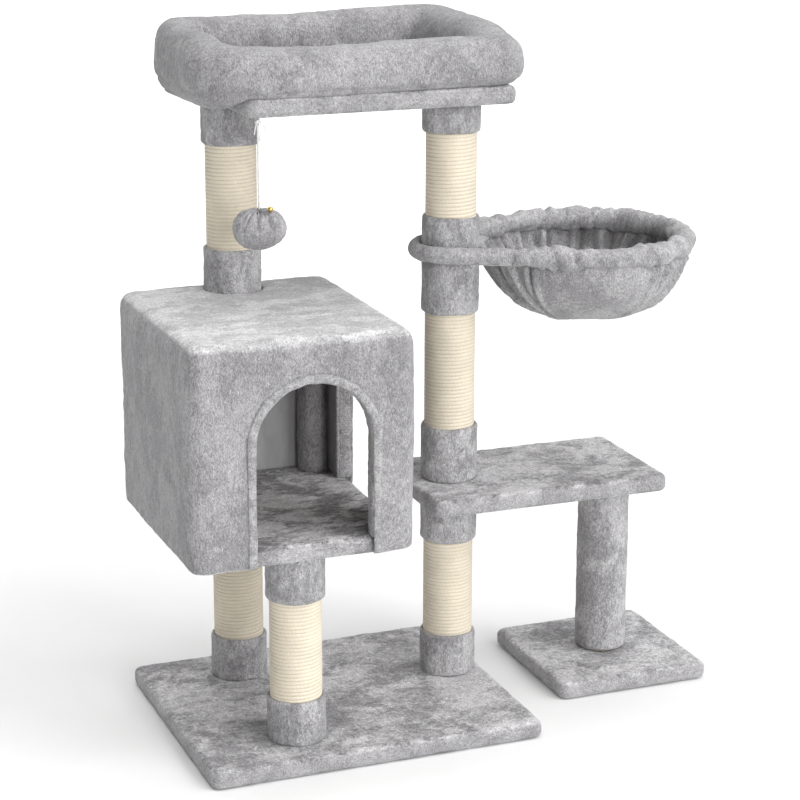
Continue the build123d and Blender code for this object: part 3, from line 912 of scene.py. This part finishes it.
def bolster_folds(points, out):
    """Creases on the hole's side, soft lumps all over, and a groove above the deck."""
    rel = points[:, :2] - HOLE_CENTRE
    angle = np.arctan2(rel[:, 1] / 0.12, rel[:, 0] / 0.19)
    inside = np.clip(-(rel[:, 0] / 0.23 * out[:, 0] + rel[:, 1] / 0.15 * out[:, 1]), 0, 1)
    low = np.clip((0.925 - points[:, 2]) / 0.03, 0, 1)
    lean = 0.25 * (points[:, 2] - 0.9) / 0.04
    creases = np.zeros(len(points))
    for where, width, deep in BOLSTER_CREASES:
        bend = where + lean * (0.1 if where > 0 else -0.1)
        creases -= deep * bump_at(wrapped(angle - bend), width) * inside * (0.35 + 0.65 * low)
    soft = noise3(points, 0.060, 501) * 0.0022 + noise3(points, 0.026, 502) * 0.0010
    return creases + soft * (out[:, 2] > -0.8) - bump_at(points[:, 2] - 0.8705, 0.003) * 0.0022


def dress_bolster(piece):
    push(piece, bolster_folds)
    push(piece, lambda points, out: pile(points, 520, 1.1) * (out[:, 2] > -0.8))
    place(piece, "tree", "perch_bolster", "bolster_plush", "plush_soft")


def subdivided(piece, levels=1):
    mod = piece.modifiers.new("subdivide", "SUBSURF")
    mod.levels = mod.render_levels = levels
    bake_modifiers(piece)
    smooth(piece)


bolster = make_bolster()
subdivided(bolster)
dress_bolster(bolster)

# ---------------- basket

HOOP = np.array((0.2395, -0.008))
HOOP_R, LOOP_R, HOOP_Z = 0.140, 0.0487, 0.639
RIM_R, STRAND_RIM_R = 0.0150, 0.0118       # the rim's tube, and where it meets the neck's
NECK_HALF = (0.0092, 0.0116)               # the neck's half width and half height
STRAND_SHARE = 0.55                        # how much of each strand the rim covers
POST = np.array((0.039, -0.008))
TOUCH = math.acos((LOOP_R - HOOP_R) / (HOOP[0] - POST[0]))


def even_line(points, spacing):
    """The same line with evenly spaced points."""
    run = distance_along(points)
    at = np.linspace(0, run[-1], int(run[-1] / spacing))
    return np.stack([np.interp(at, run, points[:, k]) for k in range(2)], 1)


def arc(centre, radius, start, end, steps=300):
    a = np.linspace(start, end, steps)
    return centre + radius * np.stack([np.cos(a), np.sin(a)], 1)


def tube_along(name, line, outward_r, upward_r, z):
    """A closed-ended tube: both radii are given for each point and each angle round it."""
    ahead = directions(line)
    out = np.stack([ahead[:, 1], -ahead[:, 0]], 1)
    phi = full_turn(outward_r.shape[1])
    ends = np.ones(len(line))
    for i, part in enumerate((0.05, 0.45, 0.72, 0.88, 0.96)):
        ends[i] = ends[-1 - i] = part
    across = outward_r * np.cos(phi) * ends[:, None]
    xy = line[:, None, :] + out[:, None, :] * across[..., None]
    height = z[:, None] + upward_r * np.sin(phi) * ends[:, None]
    return closed_grid(name, np.concatenate([xy, height[..., None]], 2))


def split_point(side):
    """Where the rim's tube meets the neck's, on the strand at the back (1) or front (-1)."""
    turn = np.array((math.cos(TOUCH), side * math.sin(TOUCH)))
    wide, narrow = HOOP + HOOP_R * turn, POST + LOOP_R * turn
    return wide + STRAND_SHARE * (narrow - wide)


def from_ends(line, reach):
    """0 at both ends of a line, rising to 1 within the reach."""
    run = distance_along(line)
    return np.clip(np.minimum(run, run[-1] - run) / reach, 0, 1)


def make_rim():
    ring = arc(HOOP, HOOP_R, -TOUCH, TOUCH, 500)
    line = even_line(np.vstack([split_point(-1), ring, split_point(1)]), 0.0021)
    # thick around the wire, thinner where it runs on into the neck
    inner = from_ends(line, 0.060)
    full = STRAND_RIM_R + (RIM_R - STRAND_RIM_R) * inner * inner * (3 - 2 * inner)
    probe = np.concatenate([line, np.zeros((len(line), 1))], 1)
    ahead = directions(line)
    r = []
    for phi in full_turn(30):
        slanted = probe.copy()
        slanted[:, :2] += ahead * 0.006 * math.sin(phi)
        slanted[:, 2] = 0.011 * math.cos(phi)
        pleat = np.abs(noise3(slanted, 0.0155, 610)) ** 0.8
        fine = np.abs(noise3(slanted, 0.0075, 611))
        r.append(pleat * 0.0064 + fine * 0.0020 + noise3(slanted, 0.045, 603) * 0.0016)
    # full rolls with narrow pinches between them
    r = full[:, None] - 0.0030 + np.stack(r, 1) * (0.45 + 0.55 * inner)[:, None]
    z = HOOP_Z + noise3(probe, 0.07, 605) * 0.0012
    piece = tube_along("basket_rim_plush", line, r, r, z)
    push(piece, lambda points, n: pile(points, 620, 0.8))
    place(piece, "basket", "basket_rim", "basket_plush", "plush_basket")


def make_neck():
    loop = arc(POST, LOOP_R, TOUCH, 2 * math.pi - TOUCH)
    tuck = 0.020 * np.array((-math.sin(TOUCH), math.cos(TOUCH)))
    back, front = split_point(1) - tuck, split_point(-1) - tuck * (1, -1)
    line = even_line(np.vstack([back, loop, front]), 0.0024)
    probe = np.concatenate([line, np.zeros((len(line), 1))], 1)
    # its ends narrow inside the rim
    inner = from_ends(line, 0.026)
    lumps = 1 + noise3(probe, 0.024, 631) * 0.05 + noise3(probe, 0.010, 632) * 0.03
    lumps *= 0.62 + 0.38 * inner * (2 - inner)
    wide, high = (np.repeat((half * lumps)[:, None], 26, 1) for half in NECK_HALF)
    piece = tube_along("basket_neck_plush", line, wide, high, np.full(len(line), HOOP_Z))
    push(piece, lambda points, n: pile(points, 640, 0.8))
    place(piece, "basket", "basket_neck", "basket_plush", "plush_basket")


make_rim()
make_neck()

BOWL_R, BOWL_TOP, BOWL_DEPTH = 0.1440, 0.6265, 0.0990
BOWL_POWER = 2.05          # 2 would make it half an ellipsoid
FRONT_PANEL = -1.88        # the way the bowl's flat front panel faces
SEAMS = (-3.14, -1.95, -0.66, 0.66, 1.95, 3.14)        # angles from that panel's middle
FOLDS = (
    # angle from the panel's middle, lean, depth and width, from the wire down
    (-0.92, 0.24, 0.0060, 0.036), (-1.22, 0.20, 0.0085, 0.042), (-1.60, 0.12, 0.0070, 0.045),
    (0.84, -0.10, 0.0080, 0.030), (1.02, -0.14, 0.0095, 0.032), (1.22, -0.16, 0.0085, 0.036),
    (1.48, -0.14, 0.0080, 0.040), (1.78, -0.05, 0.0080, 0.040), (2.18, 0.12, 0.0110, 0.046),
    (2.42, 0.10, 0.0090, 0.040), (2.72, -0.08, 0.0110, 0.052), (3.02, 0.04, 0.0090, 0.045),
    (-2.92, 0.12, 0.0100, 0.045), (-2.62, 0.10, 0.0110, 0.050), (-2.30, -0.10, 0.0090, 0.045),
)
WEB_FOLDS = ((0.052, 0.0035), (0.024, 0.0025), (-0.012, 0.003), (-0.045, 0.0035))
BOWL_THICK = 0.0035


def web_reach(angle):
    """How far the fabric by the post reaches: out to the strands, or to its free edge."""
    off = abs(wrapped(angle))
    if off <= TOUCH:
        return HOOP_R
    strand = HOOP_R / math.cos(off - TOUCH)
    free_edge = (HOOP[0] - POST[0] - 0.049) / -math.cos(off)
    return min(strand, free_edge)


def bowl_profile(angle, rows):
    """(radius, height) down the bowl at one angle, evenly spaced from its edge."""
    reach = web_reach(angle)
    top = []
    if reach > BOWL_R + 0.002:
        for u in np.linspace(0, 1, 14):
            top.append((reach + (BOWL_R - 0.004 - reach) * u, HOOP_Z - 0.002 - 0.0105 * u * u))
    else:
        top.append((HOOP_R, HOOP_Z - 0.008))
    turn = np.linspace(0.02, np.pi / 2, 90)
    side = np.stack([
        BOWL_R * np.cos(turn) ** (2 / BOWL_POWER),
        BOWL_TOP - BOWL_DEPTH * np.sin(turn) ** (2 / BOWL_POWER),
    ], 1)
    line = np.vstack([top, side])
    run = distance_along(line)
    at = np.linspace(0, run[-1], rows)
    return np.interp(at, run, line[:, 0]), np.interp(at, run, line[:, 1])


def bowl_lift(A, drop):
    """How far each place on the bowl stands out from its plain shape."""
    off = wrapped(A - FRONT_PANEL)
    panel = np.clip(1 - (np.abs(off) / SEAMS[3]) ** 8, 0, 1)
    fade = np.clip(drop / 0.06, 0, 1) * np.clip((1 - drop) / 0.35, 0, 1)
    ring = np.stack([np.cos(A), np.sin(A), drop * 0.5], 2).reshape(-1, 3)
    sway = noise3(ring, 0.42, 703).reshape(A.shape) * 0.0030 * np.sin(np.pi * drop)
    lumps = noise3(ring * (1, 1, 0.4), 0.11, 701).reshape(A.shape) * 0.0060 * fade
    lift = sway * (1 - 0.7 * panel) + lumps * (1 - 0.85 * panel)
    # each panel is pulled flat between its seams
    belly = np.sin(np.pi * np.clip(drop * 0.9 + 0.06, 0, 1))
    for low, high in zip(SEAMS[:-1], SEAMS[1:]):
        across = (off - (low + high) / 2) / ((high - low) / 2)
        lift -= 0.0095 * belly * np.clip(1 - across**2, 0, 1)
    for at in SEAMS[1:-1]:
        line = wrapped(off - at)
        ridges = 0.0036 * bump_at(np.abs(line) - 0.050, 0.026)
        lift += (ridges - 0.0062 * bump_at(line, 0.018)) * fade
    # folds are sharp on one side
    for at, lean, deep, wide in FOLDS:
        line = wrapped(off - at - lean * drop)
        lift += deep * (bump_at(line, wide) - 0.85 * bump_at(line - 1.7 * wide, wide)) * fade
    return lift


def make_bowl():
    around, rows = 440, 84
    angle = full_turn(around)
    r, z = np.array([bowl_profile(a, rows) for a in angle]).transpose(1, 2, 0)
    A = np.repeat(angle[None, :], rows, 0)
    drop = np.clip((BOWL_TOP - z) / BOWL_DEPTH, 0, 1)
    # the lift is along the bowl's own normal, and leaves the web by the post alone
    lift = bowl_lift(A, drop) * (1 - np.clip((r - BOWL_R) / 0.01, 0, 1))
    down = drop**1.6
    r = r + lift * np.sqrt(1 - down**2)
    z = z - lift * down
    x, y = HOOP[0] + r * np.cos(A), HOOP[1] + r * np.sin(A)
    # the web sags between the strands, with a few folds that run to the bowl
    near = np.clip((HOOP[0] - 0.135 - x) / 0.02, 0, 1)
    z = z - 0.006 * near * np.clip(1 - (np.abs(y - HOOP[1]) / 0.080) ** 2, 0, 1)
    for at, deep in WEB_FOLDS:
        line = y - HOOP[1] - at * (1 + 1.2 * (HOOP[0] - 0.14 - x) / 0.05)
        z = z + deep * near * bump_at(line, 0.006)
    grid = np.stack([x, y, z], 2)
    verts = np.vstack([grid[:-1].reshape(-1, 3), [[*HOOP, z[-1].mean()]]])
    faces = grid_faces(rows - 1, around, wrap_cols=True)
    last, tip = (rows - 2) * around, len(verts) - 1
    faces += [(last + j, last + (j + 1) % around, tip) for j in range(around)]
    piece = new_object("basket_fabric", verts, faces)
    face_outward(piece)
    smooth(piece)
    push(piece, lambda points, n: pile(points, 720, 0.6))
    thick = piece.modifiers.new("thick", "SOLIDIFY")
    thick.thickness = BOWL_THICK
    thick.offset = 0
    bake_modifiers(piece)
    smooth(piece)
    place(piece, "basket", "basket_bowl", "basket_plush", "plush_basket")
    return piece


make_bowl()

# ---------------- toy


def ball(name, node, rows, around, swell, flattened=False):
    """A ball as wide as a CAD node, scaled by swell(longitude, latitude, unit points)."""
    low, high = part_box(node)
    radius = (high.x - low.x) / 2
    half_height = (high.z - low.z) / 2 if flattened else radius
    P, T = np.meshgrid(full_turn(around), np.linspace(0.0001, np.pi - 0.0001, rows))
    unit = np.stack([np.sin(T) * np.cos(P), np.sin(T) * np.sin(P), np.cos(T)], 2)
    reach = swell(P, T, unit)[..., None] * np.array((radius, radius, half_height))
    return closed_grid(name, unit * reach + np.array((low + high) / 2))


def pompom_swell(P, T, unit):
    """Gathers that run down from the string, a dimple at each end, and soft lumps."""
    flat = unit.reshape(-1, 3)
    creases = np.zeros(P.shape)
    for k, at in enumerate((0.2, 0.95, 1.5, 2.3, 3.0, 3.55, 3.95, 4.20, 4.45, 4.72, 5.05, 5.6)):
        line = wrapped(P - at - 0.20 * math.sin(3 * k) * (T - 0.4))
        wide = 0.085 + 0.025 * math.sin(5 * k)
        fade = np.clip(1.30 - T / (1.5 + 0.3 * math.cos(2 * k)), 0, 1)
        creases -= bump_at(line, wide) * fade * 0.13
    dimples = 0.14 * bump_at(T, 0.30) + 0.08 * bump_at(np.pi - T, 0.35)
    lumps = noise3(flat, 0.7, 801) * 0.030 + noise3(flat, 0.26, 802) * 0.022
    lumps = (lumps + noise3(flat, 0.11, 803) * 0.018).reshape(P.shape)
    return 1.0 + creases - dimples + lumps


def make_pompom():
    piece = ball("pompom", "toy_pompom", 90, 200, pompom_swell, flattened=True)
    push(piece, lambda points, n: pile(points, 820, 1.0))
    place(piece, "toy", "toy_pompom", "pompom", "plush_soft")


make_pompom()


def bell_swell(P, T, unit):
    """A band round the bell's middle, and the slit below it."""
    slit = bump_at(unit[..., 0], 0.14) * np.clip(-unit[..., 2] * 3, 0, 1)
    return 1 - 0.16 * slit + 0.05 * bump_at(unit[..., 2], 0.10)


def make_bell():
    piece = ball("bell", "toy_bell", 30, 40, bell_swell)
    place(piece, "toy", "toy_bell", "bell", "gold")


make_bell()


KNOT_THREAD_R, TAIL_R = 0.0014, 0.0008
TAIL_ENDS = ((0.009, -0.014), (-0.005, -0.016))        # sideways and down from the knot


def make_knot():
    """A small tangle on the perch's underside, with two tails."""
    low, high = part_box("toy_knot")
    centre = np.array((low + high) / 2)
    radius = (high.x - low.x) / 2
    wraps = []
    for i in range(61):
        a = 2 * math.pi * i / 20
        b = 2 * math.pi * i / 60
        ring = radius * 0.66 * (1 + 0.25 * math.cos(2 * b))
        wraps.append(centre + np.array((
            ring * math.cos(a), ring * math.sin(a) * math.cos(b),
            ring * math.sin(a) * math.sin(b) + radius * 0.2 * math.cos(a),
        )))
    piece = thread_curve("knot", wraps, KNOT_THREAD_R)
    place(piece, "toy_knot", "toy_knot", "string", "string")
    for k, (dx, dz) in enumerate(TAIL_ENDS):
        tail = [
            centre, centre + np.array((dx * 0.5, -0.002, -0.002)),
            centre + np.array((dx, -0.003, dz * 0.6)), centre + np.array((dx * 1.1, -0.002, dz)),
        ]
        end = thread_curve(f"knot_tail_{k}", tail, TAIL_R)
        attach(end, "toy_knot")


make_knot()

# ---------------- CAD pieces that show

SHOWN = {
    "mdf": ("base_board", "small_base_board", "step_board", "perch_board", "condo_floor_board",
            "condo_roof_board"),
    "grey_board": ("condo_front_panel", "condo_back_panel", "condo_left_panel",
                   "condo_right_panel"),
    "felt": ("base_backing", "small_base_backing"),
    "paper": [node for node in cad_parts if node.endswith("_tube")],
    "plug": ("post_plugs",), "brass": ("post_inserts",), "wire": ("basket_hoop",),
    "steel": ("post_bolts", "post_washers", "joining_studs"),
}
for material, nodes in SHOWN.items():
    for node in nodes:
        dress(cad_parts[node], material)

# ---------------- floor, light


FLOOR_HALF_WIDTH = 6.0
FLOOR_FRONT, FLOOR_BACK = -4.0, 5.0
FLOOR_BEND = 2.5           # behind this the floor curves up
FLOOR_RISE = 2.64


def make_stage():
    """A pale sheet that lies flat under the object and curves up far behind it."""
    y = np.linspace(FLOOR_FRONT, FLOOR_BACK, 24)
    turned = np.clip((y - FLOOR_BEND) / (FLOOR_BACK - FLOOR_BEND), 0, 1) * np.pi / 2
    x = np.linspace(-FLOOR_HALF_WIDTH, FLOOR_HALF_WIDTH, 16)
    X, Y = np.meshgrid(x, y)
    Z = np.repeat(FLOOR_RISE * (1 - np.cos(turned))[:, None], len(x), 1)
    piece = grid_object("floor", np.stack([X, Y, Z], 2))
    smooth(piece)
    dress(piece, "stage")


make_stage()


def make_world():
    world = bpy.data.worlds.new("studio")
    world.use_nodes = True
    back = world.node_tree.nodes["Background"]
    back.inputs["Color"].default_value = (1.0, 1.0, 1.0, 1)
    back.inputs["Strength"].default_value = 0.38
    bpy.context.scene.world = world


make_world()
add_sun("key", (0.68, -0.58, 0.78), 1.8, 0.7)
add_sun("front", (0.10, -1.0, 0.22), 1.8, 0.6)
add_sun("top", (0.0, 0.1, 1.0), 1.8, 0.9)
bpy.context.scene.view_settings.view_transform = "Standard"
